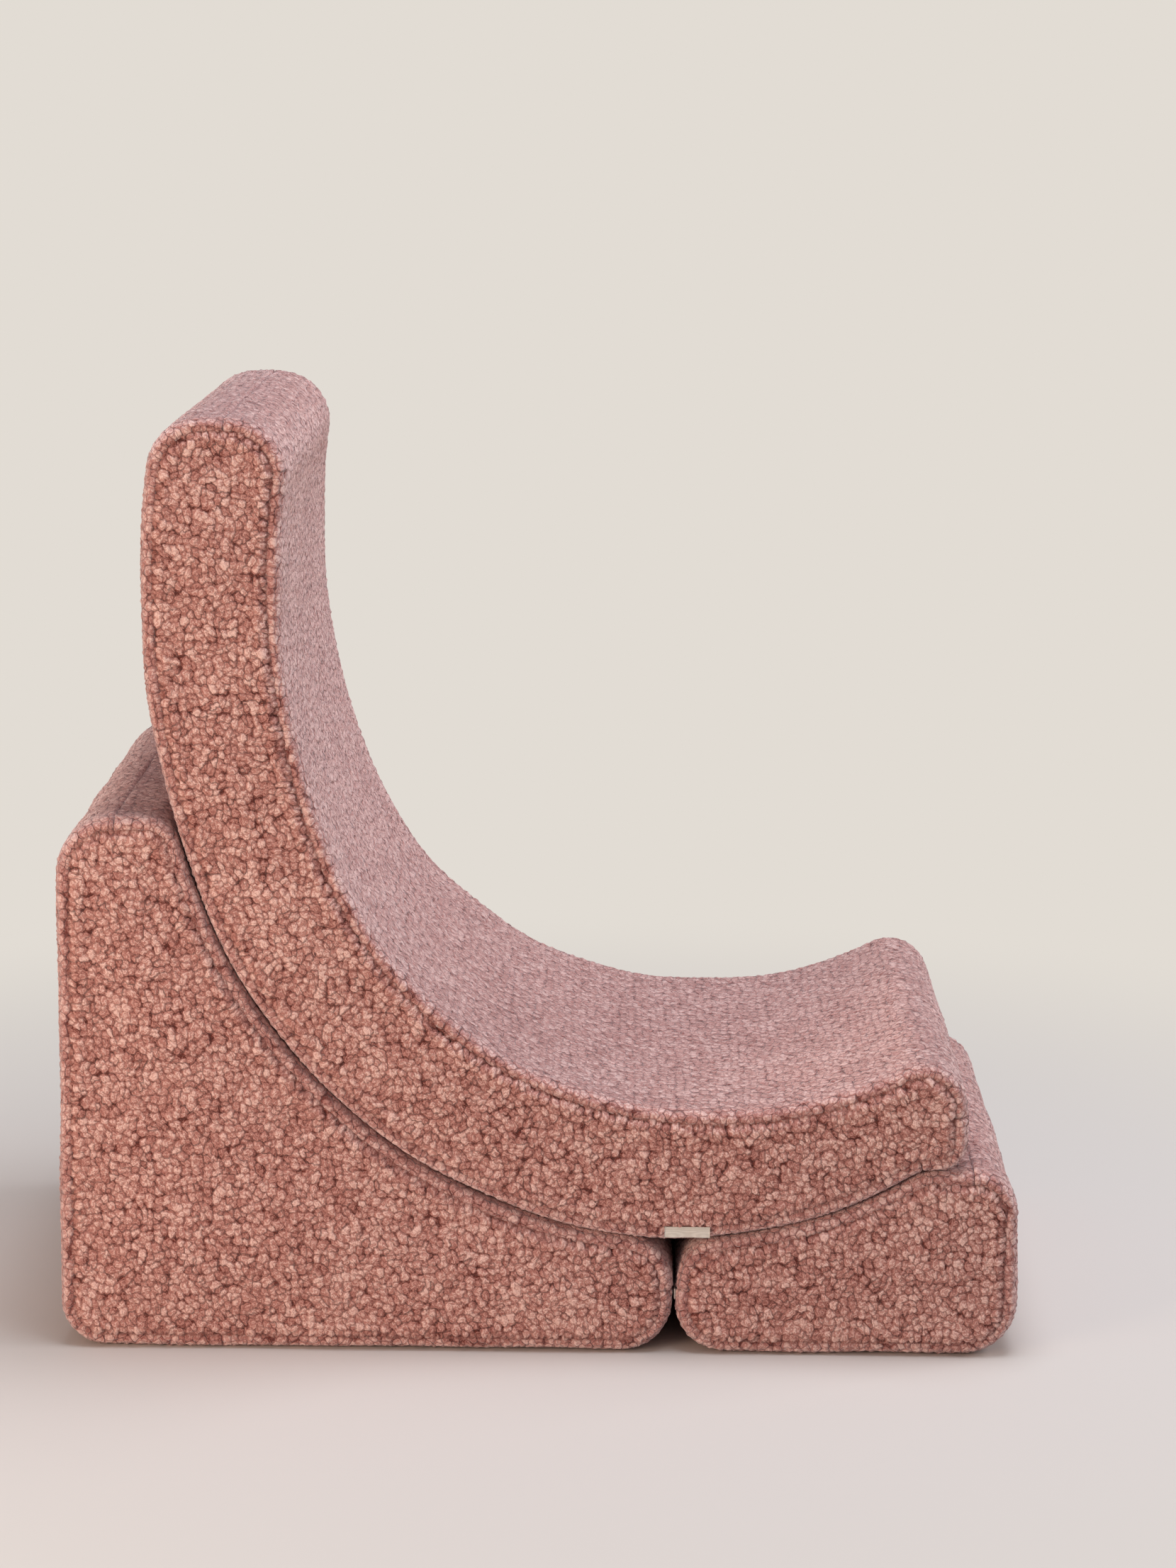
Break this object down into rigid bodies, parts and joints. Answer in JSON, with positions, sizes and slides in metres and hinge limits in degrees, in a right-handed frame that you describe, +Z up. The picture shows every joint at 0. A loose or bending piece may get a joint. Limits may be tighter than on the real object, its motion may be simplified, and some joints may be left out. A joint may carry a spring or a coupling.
{
  "type": "kids armchair",
  "caption": "Low foam armchair for a child: a crescent seat and back in looped-pile cloth rests in the cradles of a rear wedge and a front wedge, each in a zip-off cover.",
  "frame": {"origin": "on the floor, under the middle of the chair's overall box", "axes": "+Z up, the sitter faces -Y, +X to the sitter's left"},
  "size_m": [0.47, 0.74, 0.722],
  "materials": {
    "looped_cloth": "blush pink looped pile cloth of close, round curls about 6 mm across",
    "foam": "open-cell upholstery foam, cut to shape",
    "zip_tape": "pink woven zip tape",
    "zip_coil": "pink nylon coil",
    "zip_metal": "pink lacquered zinc",
    "label_cloth": "cream woven ribbon"
  },
  "bodies": {
    "rear_wedge": {"rear_wedge_foam_core": "foam", "rear_wedge_right_side_panel": "looped_cloth", "rear_wedge_left_side_panel": "looped_cloth", "rear_wedge_cradle_band": "looped_cloth", "rear_wedge_base_band": "looped_cloth", "rear_wedge_zip_tapes": "zip_tape", "rear_wedge_zip_chain": "zip_coil", "rear_wedge_zip_stops": "zip_metal"},
    "moon": {"moon_foam_core": "foam", "moon_right_side_panel": "looped_cloth", "moon_left_side_panel": "looped_cloth", "moon_seat_band": "looped_cloth", "moon_base_band": "looped_cloth", "moon_zip_tapes": "zip_tape", "moon_zip_chain": "zip_coil", "moon_zip_stops": "zip_metal", "moon_nose_band": "looped_cloth", "moon_label": "label_cloth"},
    "front_wedge": {"front_wedge_foam_core": "foam", "front_wedge_right_side_panel": "looped_cloth", "front_wedge_left_side_panel": "looped_cloth", "front_wedge_cradle_band": "looped_cloth", "front_wedge_base_band": "looped_cloth", "front_wedge_zip_tapes": "zip_tape", "front_wedge_zip_chain": "zip_coil", "front_wedge_zip_stops": "zip_metal", "front_wedge_label": "label_cloth"},
    "rear_wedge_slider": {"rear_wedge_zip_slider": "zip_metal"},
    "rear_wedge_pull_tab": {"rear_wedge_zip_pull_tab": "zip_metal"},
    "moon_slider": {"moon_zip_slider": "zip_metal"},
    "moon_pull_tab": {"moon_zip_pull_tab": "zip_metal"},
    "front_wedge_slider": {"front_wedge_zip_slider": "zip_metal"},
    "front_wedge_pull_tab": {"front_wedge_zip_pull_tab": "zip_metal"}
  },
  "joints": [
    {"name": "moon_lift", "type": "slide", "parent": "rear_wedge", "child": "moon", "axis": [0, 0, 1], "range_m": [0, 0.3]},
    {"name": "front_wedge_pull", "type": "slide", "parent": "rear_wedge", "child": "front_wedge", "axis": [0, -1, 0], "range_m": [0, 0.3]},
    {"name": "rear_wedge_zip_slide", "type": "slide", "parent": "rear_wedge", "child": "rear_wedge_slider", "axis": [1, 0, 0], "range_m": [0, 0.3289]},
    {"name": "rear_wedge_zip_tab_turn", "type": "hinge", "parent": "rear_wedge_slider", "child": "rear_wedge_pull_tab", "pos_m": [-0.16445, 0.3672, 0.048], "axis": [0, 0, 1], "range_deg": [0, 180]},
    {"name": "moon_zip_slide", "type": "slide", "parent": "moon", "child": "moon_slider", "axis": [1, 0, 0], "range_m": [0, 0.3289]},
    {"name": "moon_zip_tab_turn", "type": "hinge", "parent": "moon_slider", "child": "moon_pull_tab", "pos_m": [-0.16445, 0.29078, 0.47849], "axis": [0, 0.174, 0.9847], "range_deg": [0, 180]},
    {"name": "front_wedge_zip_slide", "type": "slide", "parent": "front_wedge", "child": "front_wedge_slider", "axis": [1, 0, 0], "range_m": [0, 0.3289]},
    {"name": "front_wedge_zip_tab_turn", "type": "hinge", "parent": "front_wedge_slider", "child": "front_wedge_pull_tab", "pos_m": [-0.16445, -0.24, 0.0028], "axis": [0, 1, 0], "range_deg": [0, 180]}
  ]
}
